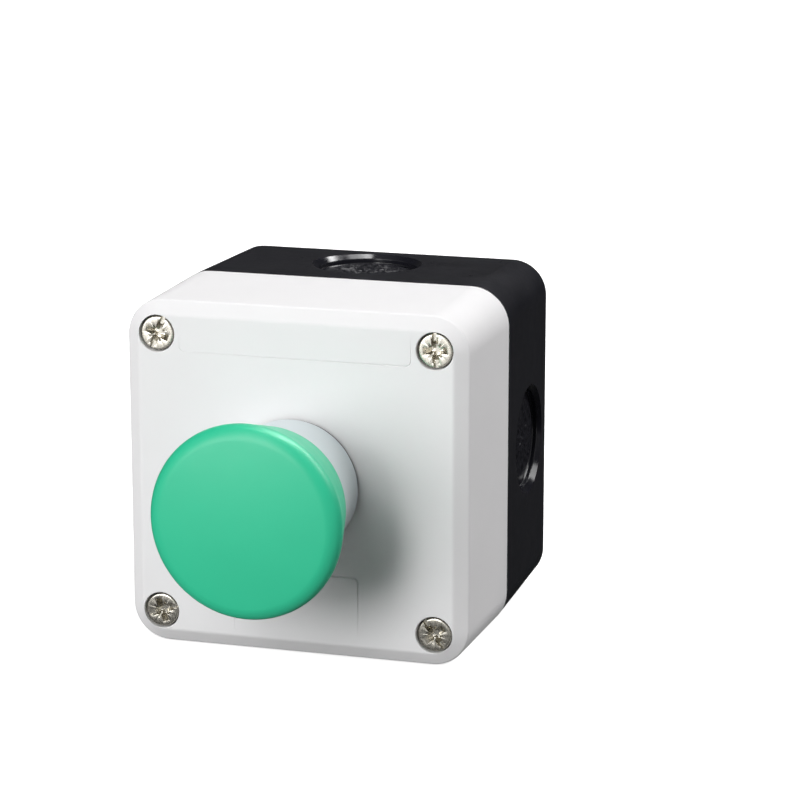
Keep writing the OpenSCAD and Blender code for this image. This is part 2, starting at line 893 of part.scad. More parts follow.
base_housing();
front_cover();
cover_gasket();
cover_screws();
screw_washers();
thread_inserts();
mushroom_cap();
bezel_collar();
panel_gasket();
operator_body();
button_plunger();
return_spring();
stem_seal();
retaining_clip();
lock_washer();
fixing_nut();
contact_carrier();
carrier_screws();
no_housing();
no_side_cover();
no_plunger();
no_plunger_spring();
no_bridge();
no_bridge_tips();
no_contact_spring();
no_fixed_contacts();
no_fixed_tips();
no_terminal_clamps();
no_terminal_screws();
nc_housing();
nc_side_cover();
nc_plunger();
nc_plunger_spring();
nc_bridge();
nc_bridge_tips();
nc_contact_spring();
nc_fixed_contacts();
nc_fixed_tips();
nc_terminal_clamps();
nc_terminal_screws();
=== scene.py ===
# %% [markdown]
# # A control station with one green mushroom button
# The real object is a small wall box. Its black rear half holds the wiring, its light grey cover
# holds the button, and four screws pull the two together. Two contact blocks sit behind the button.
# The sizes come from a measured model, which is loaded first. This lesson then gives each visible
# piece its finished shape, with the small radii and marks that moulded plastic has, and its finish.

# %% Load the measured model
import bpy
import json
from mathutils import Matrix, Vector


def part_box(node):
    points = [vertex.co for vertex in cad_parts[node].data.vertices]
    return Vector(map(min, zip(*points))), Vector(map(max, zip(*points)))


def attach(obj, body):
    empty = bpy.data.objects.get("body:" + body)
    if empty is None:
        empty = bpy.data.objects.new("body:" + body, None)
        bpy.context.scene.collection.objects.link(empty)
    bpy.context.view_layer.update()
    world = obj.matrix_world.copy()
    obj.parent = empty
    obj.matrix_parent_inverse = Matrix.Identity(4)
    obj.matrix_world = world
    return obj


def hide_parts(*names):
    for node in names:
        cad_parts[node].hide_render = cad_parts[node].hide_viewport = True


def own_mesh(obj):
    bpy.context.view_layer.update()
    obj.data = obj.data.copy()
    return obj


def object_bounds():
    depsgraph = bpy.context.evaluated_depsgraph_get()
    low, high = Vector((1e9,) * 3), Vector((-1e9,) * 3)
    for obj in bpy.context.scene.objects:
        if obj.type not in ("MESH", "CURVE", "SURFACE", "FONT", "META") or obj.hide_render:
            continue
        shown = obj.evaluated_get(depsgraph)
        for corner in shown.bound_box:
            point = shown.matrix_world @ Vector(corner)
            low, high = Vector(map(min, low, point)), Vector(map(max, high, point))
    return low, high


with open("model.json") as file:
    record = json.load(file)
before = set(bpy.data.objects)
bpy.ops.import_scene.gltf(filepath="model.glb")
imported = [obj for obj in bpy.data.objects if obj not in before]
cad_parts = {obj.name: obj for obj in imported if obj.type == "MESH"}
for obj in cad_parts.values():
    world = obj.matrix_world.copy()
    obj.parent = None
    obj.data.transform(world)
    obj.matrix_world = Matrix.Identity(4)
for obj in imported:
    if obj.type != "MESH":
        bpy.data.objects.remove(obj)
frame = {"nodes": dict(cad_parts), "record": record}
cad_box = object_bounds()
print(len(frame["nodes"]), "measured pieces")

# %% The tools of this lesson
import json
import math
from collections import Counter

import bmesh
import bpy
from mathutils import Matrix, Quaternion, Vector, noise

MM = 0.001
QUARTER = math.pi / 2
scene = bpy.context.scene
print("measured box in mm:", [[round(value / MM, 2) for value in corner] for corner in cad_box])

# %% [markdown]
# ## The camera
# A product photograph is taken from far away with a long lens, so that the box keeps its shape.
# The camera looks a little down at the front and sees a narrow strip of the right side. It could be
# placed by eye. Here its numbers come from a fit of the box's corners, the four screws, the collar
# and the cap, because a small error in the angle shows at once on a square box.

# %% Place the camera
camera_turn = math.radians(16.72)
camera_lift = math.radians(13.55)
camera_distance = 0.653
lens_mm = 135.44
look_at = Vector((0.01103, -0.02757, 0.00966))
toward_camera = Vector((math.sin(camera_turn) * math.cos(camera_lift),
                        -math.cos(camera_turn) * math.cos(camera_lift),
                        math.sin(camera_lift)))
camera_data = bpy.data.cameras.new("camera")
camera_data.sensor_width = 36
camera_data.lens = lens_mm
camera_data.clip_start = 0.01
camera = bpy.data.objects.new("camera", camera_data)
scene.collection.objects.link(camera)
camera.location = look_at + camera_distance * toward_camera
camera.rotation_euler = toward_camera.to_track_quat("Z", "Y").to_euler()
scene.camera = camera
print("camera at", [round(value, 4) for value in camera.location])

# %% [markdown]
# ## Sizes
# All heights are in millimetres ahead of the wall. The wall is at Y = 0 and the front looks along
# -Y, so a height h is the place Y = -h. The sizes could be typed in again. What the measured pieces
# already know is read from them, so that the finished pieces always fit them.

# %% Read the sizes of the box from the measured pieces
def height(place):
    """Millimetres ahead of the wall."""
    return -place.y / MM


base_low, base_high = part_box("base_housing")
joint = height(base_low)
front = height(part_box("front_cover")[0])
box_half = base_high.x / MM
base_draft = 0.8
cover_draft = 0.5
corner_radius = 8.4
corner_at = box_half - corner_radius
wall = 3.0
back_half = box_half - base_draft
front_half = box_half - cover_draft
inner_half = box_half - wall
print("joint at", round(joint, 2), "front at", round(front, 2), "half width", round(box_half, 2))

# %% Read the places of the screws, the collar and the cap
screw_low, screw_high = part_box("cover_screws")
collar_low, collar_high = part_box("bezel_collar")
cap_low, cap_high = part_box("mushroom_cap")
head_radius = 3.6
screw_at = screw_high.x / MM - head_radius
head_top = height(screw_low)
washer_back = height(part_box("screw_washers")[1])
corners = [(1, 1), (-1, 1), (-1, -1), (1, -1)]
print("screws at", round(screw_at, 2), "head top at", round(head_top, 2))

# %% [markdown]
# ## Making shapes
# Moulded plastic has no sharp edges, and a highlight runs along each small radius. A subdivided
# box would bulge, and a bevel would have to guess which edges to turn. So every outline is written
# with its few corner points and a radius for each, and one helper turns the corners into arcs.
# Turned pieces spin such an outline, and the two box halves stack square sections along it. Flat
# walls then stay perfectly flat.

# %% Round the corners of an outline
def rounded(points, steps=6):
    """The outline through points (x, y) or (x, y, radius), with an arc where a radius is given."""
    result = []
    for index, point in enumerate(points):
        here = Vector(point[:2])
        if len(point) < 3 or index in (0, len(points) - 1):
            result.append(here)
            continue
        before = (Vector(points[index - 1][:2]) - here).normalized()
        after = (Vector(points[index + 1][:2]) - here).normalized()
        half_angle = before.angle(after) / 2
        centre = here + (before + after).normalized() * point[2] / math.sin(half_angle)
        start = here + before * point[2] / math.tan(half_angle) - centre
        turn = math.pi - 2 * half_angle
        side = -1 if before.cross(after) > 0 else 1
        for step in range(steps + 1):
            result.append(centre + Matrix.Rotation(side * turn * step / steps, 2) @ start)
    return result


print("a rounded corner has", len(rounded([(0, 0), (1, 0, 0.2), (1, 1)])) - 2, "points")

# %% Turn vertices and faces into an object
def outward(piece):
    """Makes the faces of a closed mesh look out."""
    shape = bmesh.new()
    shape.from_mesh(piece.data)
    bmesh.ops.recalc_face_normals(shape, faces=shape.faces)
    shape.to_mesh(piece.data)
    shape.free()
    return piece


def new_piece(name, vertices, faces, place=Matrix.Identity(4)):
    """An object whose vertices are given in millimetres, and then moved by place."""
    mesh = bpy.data.meshes.new(name)
    mesh.from_pydata([Vector(v) * MM for v in vertices], [], faces)
    mesh.transform(place)
    mesh.validate()
    mesh.update()
    piece = bpy.data.objects.new(name, mesh)
    scene.collection.objects.link(piece)
    return outward(piece)


def band(first, second, count):
    """Faces between two rings of vertices that start at first and second."""
    return [(first + i, first + (i + 1) % count, second + (i + 1) % count, second + i)
            for i in range(count)]


print("a band between rings of 4 has", len(band(0, 4, 4)), "faces")

# %% Spin an outline about an axis that looks to the front
TURN_STEPS = 128


def turned(name, outline, at=(0, 0), steps=TURN_STEPS, closed=False):
    """Spins (radius, height) points about the axis through at. An open outline starts and ends
    on it."""
    vertices = []
    rows = []
    for radius, rise in outline:
        count = steps if radius > 1e-6 else 1
        rows.append((len(vertices), count))
        for step in range(count):
            angle = 2 * math.pi * step / steps
            vertices.append((at[0] + radius * math.cos(angle), -rise,
                             at[1] + radius * math.sin(angle)))
    faces = []
    next_rows = rows[1:] + rows[:1] if closed else rows[1:]
    for (first, first_count), (second, second_count) in zip(rows, next_rows):
        for i in range(steps):
            k = (i + 1) % steps
            if first_count == 1 and second_count > 1:
                faces.append((first, second + k, second + i))
            elif second_count == 1 and first_count > 1:
                faces.append((first + i, first + k, second))
            elif first_count > 1:
                faces.append((first + i, first + k, second + k, second + i))
    return new_piece(name, vertices, faces)


print("one step of a turned piece is", round(360 / TURN_STEPS, 2), "degrees")

# %% Stack square sections with round corners
CORNER_STEPS = 14


def square_section(half):
    """Points of a square with round corners, whose corner centres stay at corner_at."""
    points = []
    for quarter, (x, z) in enumerate(corners):
        for step in range(CORNER_STEPS + 1):
            angle = QUARTER * (quarter + step / CORNER_STEPS)
            reach = half - corner_at
            points.append((x * corner_at + reach * math.cos(angle),
                           z * corner_at + reach * math.sin(angle)))
    return points


def stacked(name, outline):
    """A closed body through square sections, given as (half width, height)."""
    vertices = []
    faces = []
    for half, rise in outline:
        vertices += [(x, -rise, z) for x, z in square_section(half)]
    count = len(vertices) // len(outline)
    for level in range(len(outline) - 1):
        faces += band(level * count, (level + 1) * count, count)
    faces.append(tuple(range(count)))
    faces.append(tuple(range(len(vertices) - count, len(vertices))))
    return new_piece(name, vertices, faces)


print("a section has", len(square_section(box_half)), "points")

# %% [markdown]
# ## Cutting and smoothing
# Holes and recesses are cut with shapes that already carry the small radii of the edge, so no
# bevel has to guess them later. After the cuts, the normals are weighted by face area. A large
# flat wall then shades flat right up to its edge, and only the narrow radius faces carry the turn.

# %% Join and cut
def joined(name, pieces):
    """One object that holds all the pieces."""
    for piece in pieces:
        piece.select_set(True)
    with bpy.context.temp_override(active_object=pieces[0], selected_editable_objects=pieces,
                                   object=pieces[0]):
        bpy.ops.object.join()
    pieces[0].name = name
    pieces[0].select_set(False)
    return pieces[0]


def apply_modifiers(piece):
    """Makes the modified shape the piece's own mesh."""
    graph = bpy.context.evaluated_depsgraph_get()
    mesh = bpy.data.meshes.new_from_object(piece.evaluated_get(graph))
    piece.modifiers.clear()
    piece.data = mesh


def carve(piece, tool, how="DIFFERENCE"):
    """Cuts the tool out of the piece, or adds it with UNION, and uses the tool up."""
    step = piece.modifiers.new("carve", "BOOLEAN")
    step.object = tool
    step.operation = how
    step.solver = "EXACT"
    apply_modifiers(piece)
    bpy.data.objects.remove(tool)


OVER = 1.0
print("cutting shapes stand", OVER, "mm proud of what they cut")

# %% Smooth
SHARP_DEGREES = 32
FLAT_WEIGHT = 80


def smooth(piece, sharp_degrees=SHARP_DEGREES):
    """Shades a piece smooth between its sharp edges, and says how clean its mesh is."""
    for polygon in piece.data.polygons:
        polygon.use_smooth = True
    piece.data.set_sharp_from_angle(angle=math.radians(sharp_degrees))
    weigh = piece.modifiers.new("weigh", "WEIGHTED_NORMAL")
    weigh.mode = "FACE_AREA"
    weigh.weight = FLAT_WEIGHT
    weigh.keep_sharp = True
    apply_modifiers(piece)
    uses = Counter(key for polygon in piece.data.polygons for key in polygon.edge_keys)
    open_edges = sum(1 for count in uses.values() if count != 2)
    print(piece.name, len(piece.data.polygons), "faces,", open_edges, "open edges")


print("edges that turn by more than", SHARP_DEGREES, "degrees stay sharp")

# %% [markdown]
# ## The rear half
# The real rear half is one deep moulding with a draft of a degree or so and a groove for the seal
# in its rim. It could be a hollowed block, but then each edge would need its own bevel. The outline
# below runs from the wall, up the outside, over the rim with its groove and down the inside, and is
# stacked as square sections, so that all radii are in it from the start.

# %% Shape the shell of the rear half
groove_half_width = 0.6
groove_inner = box_half - wall / 2 - groove_half_width
groove_outer = box_half - wall / 2 + groove_half_width
groove_floor = joint - 1.6
back_wall = 3.0
inner_back = inner_half - base_draft
floor_margin = 4
joint_edge = 0.22
base_outline = rounded([
    (back_half - floor_margin, 0), (back_half, 0, 0.6), (box_half, joint, joint_edge),
    (groove_outer, joint), (groove_outer, groove_floor), (groove_inner, groove_floor),
    (groove_inner, joint), (inner_half, joint, 0.3), (inner_back, back_wall, 1.2),
    (inner_back - floor_margin, back_wall)])
base_shell = stacked("base_shell", base_outline)
print("the shell has", len(base_shell.data.polygons), "faces")

# %% [markdown]
# Four posts stand in the corners. Each takes a brass insert for a cover screw, in a hole with a
# step. Four more holes in the rear wall take the screws that hold the box. Posts and drills are
# turned shapes that are joined first and cut in one go, which keeps the solver fast and the mesh
# clean.

# %% Add the screw posts and drill them
POST_STEPS = 48
post_radius = 4.6
insert_radius = 2.85
insert_back = joint - 8.6
pilot_radius = 2.2
pilot_back = insert_back - 3
wall_hole_radius = 2.25
wall_hole_at = box_half - 13.5
wall_hole_edge = 0.3


def at_corners(name, outline, distance, steps=POST_STEPS):
    """The same turned shape in each of the four corners."""
    return [turned(name, outline, (x * distance, z * distance), steps) for x, z in corners]


base_posts = at_corners("post", [(0, 1), (post_radius, 1), (post_radius, joint), (0, joint)],
                        screw_at)
carve(base_shell, joined("posts", base_posts), "UNION")
drills = at_corners("drill", rounded([
    (0, pilot_back), (pilot_radius, pilot_back), (pilot_radius, insert_back),
    (insert_radius, insert_back), (insert_radius, joint + OVER), (0, joint + OVER)]), screw_at)
drills += at_corners("drill", rounded([
    (0, -OVER), (wall_hole_radius + wall_hole_edge + OVER, -OVER),
    (wall_hole_radius + wall_hole_edge, 0), (wall_hole_radius, wall_hole_edge),
    (wall_hole_radius, back_wall + OVER), (0, back_wall + OVER)]), wall_hole_at)
print(len(base_posts), "posts and", len(drills), "drilled holes")
carve(base_shell, joined("drills", drills))

# %% [markdown]
# ## The knockouts
# A knockout is a disc that is held by a thin web, so that it can be punched out for a cable gland.
# Its flared rim catches the light, and the disc was left rough by the spark erosion of the mould.
# A bump map would do from afar. Up close the roughness has to throw shadows, so it is modelled: the
# end face of the cutting shape is a fine grid with a seeded noise.

# %% The rough face of a disc
knock_at = 15.5
knock_radius = 12.0
knock_flare = 1.15
knock_floor = 2.3
disc_radius = 8.6
disc_sink = 1.7
disc_rim = 0.45
disc_ring_step = 0.3
disc_rough = 0.34
smooth_rim = 0.5
fade_width = 0.6
fine_scale = 2.0
fine_share = 0.4
coarse_scale = 0.9
seed_step = 7.3


def rough(radius, angle, seed):
    """Depth of the eroded surface of a disc at a place on it, in millimetres."""
    place = Vector((radius * math.cos(angle), radius * math.sin(angle), seed * seed_step))
    fine = noise.noise(place * fine_scale)
    coarse = noise.noise(place * coarse_scale)
    fade = min(1, (disc_radius - smooth_rim - radius) / fade_width)
    return disc_rough * max(0, fade) * (fine_share * fine + coarse)


print("depth at the middle of a disc:", round(rough(0, 0, 0), 3), "halfway:",
      round(rough(disc_radius / 2, 1, 0), 3))

# %% Shape one knockout as a cutting tool
tool_margin = 1.5


def knockout_tool(place, seed):
    """A cutter with the flare and the groove of a knockout round the rough face of its disc."""
    wall_foot = knock_radius - knock_flare
    disc_edge = disc_radius - disc_rim
    outline = rounded([
        (disc_edge, -disc_sink), (disc_radius, -disc_sink, 0.2), (disc_radius, -knock_floor, 0.25),
        (wall_foot, -knock_floor, 0.35), (wall_foot, -knock_flare, 0.3), (knock_radius, 0, 0.45),
        (knock_radius + tool_margin, 0.12), (knock_radius + tool_margin, tool_margin)], 4)
    steps = TURN_STEPS
    vertices = [(0, 0, -disc_sink)]
    rows = []
    ring_count = int(disc_edge / disc_ring_step)
    for ring in range(1, ring_count):
        radius = disc_edge * ring / ring_count
        rows.append([(radius, -disc_sink + rough(radius, 2 * math.pi * i / steps, seed))
                     for i in range(steps)])
    rows += [[tuple(point)] * steps for point in outline]
    for row in rows:
        for i, (radius, rise) in enumerate(row):
            angle = 2 * math.pi * i / steps
            vertices.append((radius * math.cos(angle), radius * math.sin(angle), rise))
    faces = [(0, 1 + i, 1 + (i + 1) % steps) for i in range(steps)]
    for level in range(len(rows) - 1):
        faces += band(1 + level * steps, 1 + (level + 1) * steps, steps)
    faces.append(tuple(range(len(vertices) - steps, len(vertices))))
    return new_piece("knockout", vertices, faces, place)


print("a disc has", int((disc_radius - disc_rim) / disc_ring_step), "rings")

# %% Cut the four knockouts
# The walls lean, so their half width is taken at the height of the knockouts.
side_half = back_half + base_draft * knock_at / joint
knock_tools = []
for turn in range(4):
    place = (Matrix.Rotation(QUARTER * turn, 4, "Y")
             @ Matrix.Translation(Vector((side_half, -knock_at, 0)) * MM)
             @ Matrix.Rotation(QUARTER, 4, "Y"))
    knock_tools.append(knockout_tool(place, turn))
carve(base_shell, joined("knockouts", knock_tools))
smooth(base_shell)

# %% [markdown]
# The flare of a knockout comes from a turned, polished pin in the mould, and the walls round it
# come from a finely blasted cavity. So the flare is glossier than the walls. It could be a second
# material, but the two have all else in common. Instead its faces are marked in an attribute of
# the mesh, which the black plastic reads later.

# %% Mark the polished flares
polish = base_shell.data.attributes.new("polish", "FLOAT", "FACE")
for polygon in base_shell.data.polygons:
    middle = polygon.center / MM
    out, across = sorted((abs(middle.x), abs(middle.z)), reverse=True)
    radius = math.hypot(across, -middle.y - knock_at)
    on_flare = knock_radius - knock_flare - 0.3 < radius < knock_radius + 0.2
    if on_flare and side_half - knock_floor < out < side_half + 0.3:
        polish.data[polygon.index].value = 1
print(sum(1 for item in polish.data if item.value), "faces are polished")

# %% [markdown]
# ## The cover
# The cover is a shallower moulding. Its front edge has a wide chamfer with soft shoulders, which
# are two of the radii in its outline. A bevel modifier can't give the two shoulders and the chamfer
# between them their own sizes, so the cover is stacked in the same way as the rear half.

# %% Shape the shell of the cover
chamfer_wide = 3.0
chamfer_deep = 1.95
shoulder_side = 0.9
shoulder_front = 1.5
face_inner = front - 3.0
flat_half = front_half - chamfer_wide
cover_outline = rounded([
    (inner_half - floor_margin, face_inner), (inner_half - cover_draft, face_inner, 1.0),
    (inner_half, joint, 0.3), (box_half, joint, joint_edge),
    (front_half, front - chamfer_deep, shoulder_side), (flat_half, front, shoulder_front),
    (flat_half - floor_margin, front)])
cover_shell = stacked("cover_shell", cover_outline)
print("the shell has", len(cover_shell.data.polygons), "faces")

# %% [markdown]
# Inside, the cover has posts that meet those of the rear half, and a thin lip along each side that
# aligns the two halves. Nobody sees them while the box is closed, but the pieces of the model can
# be taken apart. They could be left out. Plain blocks and cylinders cost little, and are enough.

# %% Add the screw posts and the aligning lips
def block(name, low, high):
    """A block between two corners, given as (x, height, z)."""
    vertices = [(x, -y, z) for x in (low[0], high[0]) for y in (low[1], high[1])
                for z in (low[2], high[2])]
    faces = [(0, 1, 3, 2), (4, 6, 7, 5), (0, 4, 5, 1), (2, 3, 7, 6), (0, 2, 6, 4), (1, 5, 7, 3)]
    return new_piece(name, vertices, faces)


lip_half = corner_at - 7
lip_outer = inner_half - 0.2
lip_inner = lip_outer - 1.1
lip_low = joint - 2
lip_high = joint + 4
cover_posts = at_corners("post", [(0, joint), (post_radius, joint), (post_radius, face_inner + 1),
                                  (0, face_inner + 1)], screw_at)
carve(cover_shell, joined("posts", cover_posts), "UNION")
for turn in range(4):
    lip = block("lip", (lip_inner, lip_low, -lip_half), (lip_outer, lip_high, lip_half))
    root = block("root", (lip_inner + 0.1, joint + 0.4, -lip_half + 0.1),
                 (inner_half + 0.4, lip_high - 0.1, lip_half - 0.1))
    carve(lip, root, "UNION")
    lip.data.transform(Matrix.Rotation(QUARTER * turn, 4, "Y"))
    carve(cover_shell, lip, "UNION")
print("each lip is", round(2 * lip_half, 1), "mm long")

# %% [markdown]
# The hole for the button is plain, because the collar hides it. The recesses of the screws show a
# bright ring at their mouths on the real cover. That ring is a small radius. It could be bevelled
# after the cut. The cutting shape carries it instead, so it comes only where it belongs.

# %% The cutters of the hole and the screw recesses
neck_radius = 11.2
recess_radius = head_radius + 0.3
recess_mouth = 0.28
recess_floor_edge = 0.15
screw_hole_radius = 2.2
cuts = [turned("hole", [(0, face_inner - OVER), (neck_radius, face_inner - OVER),
                        (neck_radius, front + OVER), (0, front + OVER)], steps=96)]
cuts += at_corners("recess", rounded([
    (0, joint - OVER), (screw_hole_radius, joint - OVER), (screw_hole_radius, washer_back),
    (recess_radius, washer_back, recess_floor_edge), (recess_radius, front, recess_mouth),
    (recess_radius + 0.5, front + 0.02), (recess_radius + 0.5, front + OVER), (0, front + OVER)]),
    screw_at, 96)
print(len(cuts), "cutters, recesses", round(2 * recess_radius, 1), "mm wide")

# %% [markdown]
# Two hair-fine engraved outlines show where a label may go: a wide field above the button and a
# narrow one below it. Each runs out at the chamfer. A dark line in the material would look printed,
# so a V section is swept along each path and cut, and the line gets its shade from its own depth.

# %% Score the outlines of the two label fields
score_wide = 0.17
score_deep = 0.26
field_radius = 1.2
upper_half = screw_at - recess_radius - 1.1
upper_foot = flat_half - 0.5 - 7.0
lower_half = 13.6
lower_head = -(flat_half - 2.4 - 12.4)
runs_out = flat_half - 1.0
least_share = 0.08
upper_strength = 0.6
upper_growth = 0.01
lower_strength = 1.6


def score(name, path, share):
    """A cutter with a V section along a path of (x, z) points. share(point) is its size there."""
    vertices = []
    for i, point in enumerate(path):
        ahead = path[min(i + 1, len(path) - 1)] - path[max(i - 1, 0)]
        keep = share(point)
        side = Vector((-ahead.y, ahead.x)).normalized() * score_wide * keep
        for reach, rise in ((-1.5, 0.5), (0, -1), (1.5, 0.5)):
            place = point + side * reach
            vertices.append((place.x, -(front + rise * score_deep * keep), place.y))
    faces = [(0, 1, 2), tuple(range(len(vertices) - 3, len(vertices)))]
    for i in range(len(path) - 1):
        faces += band(3 * i, 3 * i + 3, 3)
    return new_piece(name, vertices, faces)


def fades(point, foot):
    """Full depth at the foot of a field, next to nothing where it runs out at the chamfer."""
    return max(least_share, (runs_out - abs(point.y)) / (runs_out - abs(foot)))


def upper_share(point):
    """The upper field is fainter than the lower one, and deeper toward the right."""
    return fades(point, upper_foot) * (upper_strength + upper_growth * point.x)


def lower_share(point):
    """The lower field is cut evenly."""
    return fades(point, lower_head) * lower_strength


upper_line = rounded([(-upper_half, runs_out), (-upper_half, upper_foot, field_radius),
                      (upper_half, upper_foot, field_radius), (upper_half, runs_out)])
lower_line = rounded([(-lower_half, -runs_out), (-lower_half, lower_head, field_radius),
                      (lower_half, lower_head, field_radius), (lower_half, -runs_out)])
cuts += [score("upper_field", upper_line, upper_share),
         score("lower_field", lower_line, lower_share)]
carve(cover_shell, joined("cuts", cuts))
smooth(cover_shell)

# %% [markdown]
# ## The mushroom cap
# The cap is a round moulding: a barely crowned front, a soft rim and a side that tapers back to a
# thin edge over the collar. A squashed sphere would have the wrong highlight along its rim, so the
# outline is built from arcs that run into each other without a kink. Turning it at a high step
# count keeps the silhouette round in close-up. The hollow rear and the socket for the plunger are
# part of the same outline.

# %% Join the arcs of the cap
def arc(centre_r, centre_h, radius, start, end, steps):
    """Points of an arc in (radius, height), between two angles from the radial direction."""
    return [(centre_r + radius * math.cos(start + (end - start) * i / steps),
             centre_h + radius * math.sin(start + (end - start) * i / steps))
            for i in range(steps + 1)]


cap_radius = cap_high.x / MM
cap_rear = height(cap_high)
rear_radius = 16.3
rim = 2.5
rim_turn = math.radians(50)
soft_edge = 4.0
soft_turn = math.radians(83)
crown_gap = 0.01
rim_r = cap_radius - rim
soft_r = rim_r + (rim - soft_edge) * math.cos(rim_turn)
dome = soft_edge + soft_r / math.cos(soft_turn)
dome_h = height(cap_low) - crown_gap - dome
soft_h = dome_h + (dome - soft_edge) * math.sin(soft_turn)
cap_wide = soft_h + (soft_edge - rim) * math.sin(rim_turn)
taper = math.atan((cap_radius - rear_radius) / (cap_wide - cap_rear))
print("the cap is widest at", round(cap_wide, 2), "and its crown has a radius of", round(dome, 1))

# %% Shape the cap
cap_inside = 14.6
cap_lip = 0.6
shoulder_radius = 8.4
shoulder_top = height(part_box("bezel_collar")[0]) + 3.5
socket_radius = 5.05
roof = cap_wide - 0.8
roof_margin = 1.4
cap_outline = [(0, roof - 1), (socket_radius, roof - 1), (socket_radius, shoulder_top),
               (shoulder_radius, shoulder_top), (shoulder_radius, roof),
               (rim_r - roof_margin, roof), (cap_inside, cap_rear)]
cap_outline += arc(rear_radius - cap_lip, cap_rear + cap_lip, cap_lip, -QUARTER, -taper, 8)
cap_outline += arc(rim_r, cap_wide, rim, -taper, rim_turn, 20)
cap_outline += arc(soft_r, soft_h, soft_edge, rim_turn, soft_turn, 12)[1:]
cap_outline += arc(0, dome_h, dome, soft_turn, QUARTER, 24)[1:]
cap_outline[-1] = (0, cap_outline[-1][1])
print("crown at", round(cap_outline[-1][1], 3), "of", round(height(cap_low), 3))
mushroom = turned("mushroom", cap_outline, steps=192)
smooth(mushroom)

# %% [markdown]
# ## The collar
# The collar is a plain light grey tube between the cover and the cap. It stands on a thin rubber
# ring, which is the fine dark line at its foot and belongs to the measured model. A plain cylinder
# would lack the soft upper edge, so the collar is turned from a closed outline.

# %% Shape the collar
collar_radius = collar_high.x / MM
collar_foot = height(collar_high)
collar_top = height(collar_low)
tube_radius = 10.45
flange_radius = 12.75
collar_outline = rounded([
    (flange_radius, collar_foot + 1), (flange_radius, collar_foot),
    (collar_radius, collar_foot, 0.25), (collar_radius, collar_top, 0.6),
    (tube_radius, collar_top, 0.2), (tube_radius, collar_top - 2), (flange_radius, collar_top - 2),
    (flange_radius, collar_foot + 1)])[:-1]
collar_tube = turned("collar_tube", collar_outline, steps=160, closed=True)
smooth(collar_tube)

# %% [markdown]
# ## The cover screws
# The screws have a combined drive: a cross for a power driver and a slot for a plain one, with four
# small ribs between the arms. Each stands at its own angle, as it was left when it was tightened.
# A picture of a drive on a flat disc would not change as the light moves. So the recess is cut from
# grooves that are narrower at their floor, and a fine bevel breaks its edges.

# %% The body of a screw
screw_radius = 2.0
screw_end = height(screw_high)
screw_tip = 0.8
head_back = head_top - 2.7
thread_pitch = 0.7
thread_depth = 0.35
thread_start = screw_end + screw_tip


def screw_body(name):
    """A turned screw, with ridges for its thread."""
    outline = rounded([(0, screw_end), (screw_radius - screw_tip, screw_end, 0.2),
                       (screw_radius, screw_end + screw_tip)], 3)
    turns = int((washer_back - 2 - screw_end - screw_tip) / thread_pitch)
    for ridge in range(turns):
        start = thread_start + ridge * thread_pitch
        outline += [(screw_radius, start),
                    (screw_radius - thread_depth, start + thread_pitch * 0.45),
                    (screw_radius - thread_depth, start + thread_pitch * 0.55)]
    neck = [(screw_radius, thread_start + turns * thread_pitch), (screw_radius, head_back, 0.1),
            (head_radius, head_back, 0.15), (head_radius, head_top, 0.42), (0, head_top)]
    return turned(name, outline + rounded(neck, 5), steps=72)


print("screws are", round(head_top - screw_end, 1), "mm long")

# %% The recess of the drive
# Length, width and depth of its grooves in mm.
cross_arm = (5.2, 1.45, 1.9)
rib_groove = (3.7, 0.5, 0.9)
slot_groove = (12, 0.95, 0.8)


def groove(length, wide, deep, turn, floor_share, runs_through=False):
    """One groove of the drive, whose floor is narrower than its mouth by floor_share."""
    vertices = []
    for rise, share in ((-deep, floor_share), (0, 1), (OVER, 1.0)):
        for x, z in corners:
            vertices.append((x * length / 2 * (1 if runs_through else share), -rise,
                             z * wide / 2 * share))
    faces = band(0, 4, 4) + band(4, 8, 4) + [(0, 1, 2, 3), (8, 9, 10, 11)]
    return new_piece("groove", vertices, faces, Matrix.Rotation(turn, 4, "Y"))


def drive_tool():
    """Cross, ribs and slot of the drive, as one cutting shape."""
    tool = groove(*cross_arm, 0, 0.45)
    for other in (groove(*cross_arm, QUARTER, 0.45), groove(*rib_groove, QUARTER / 2, 0.6),
                  groove(*rib_groove, -QUARTER / 2, 0.6), groove(*slot_groove, 0, 0.8, True)):
        carve(tool, other, "UNION")
    return tool


screw_turns = [94, 68, 20, 128]
print("the screws stand at", screw_turns, "degrees")

# %% Cut and place the screws
screw_pieces = []
for index, (x, z) in enumerate(corners):
    screw = screw_body(f"screw_{index + 1}")
    tool = drive_tool()
    tool.data.transform(Matrix.Translation((0, -head_top * MM, 0)))
    carve(screw, tool)
    edge = screw.modifiers.new("edge", "BEVEL")
    edge.width = 0.06 * MM
    edge.segments = 2
    edge.limit_method = "ANGLE"
    edge.angle_limit = math.radians(38)
    apply_modifiers(screw)
    screw.data.transform(Matrix.Rotation(-math.radians(screw_turns[index]), 4, "Y"))
    screw.data.transform(Matrix.Translation(Vector((x * screw_at, 0, z * screw_at)) * MM))
    smooth(screw)
    screw_pieces.append(screw)

# %% [markdown]
# ## The springs
# Five springs work inside, and four of them shorten when the button goes in. Each is a wire coil
# with closed end turns, at the length of the measured spring. A curve with a bevel would do as
# well. The coil is written as a mesh, because the height of each turn is then free: the end turns
# lie flat, and the others rise evenly between them.

# %% Wind a spring
WIRE_SIDES = 10
WIRE_STEPS = 28
end_turns = 0.9
end_rise = 1.02
ease = 0.35


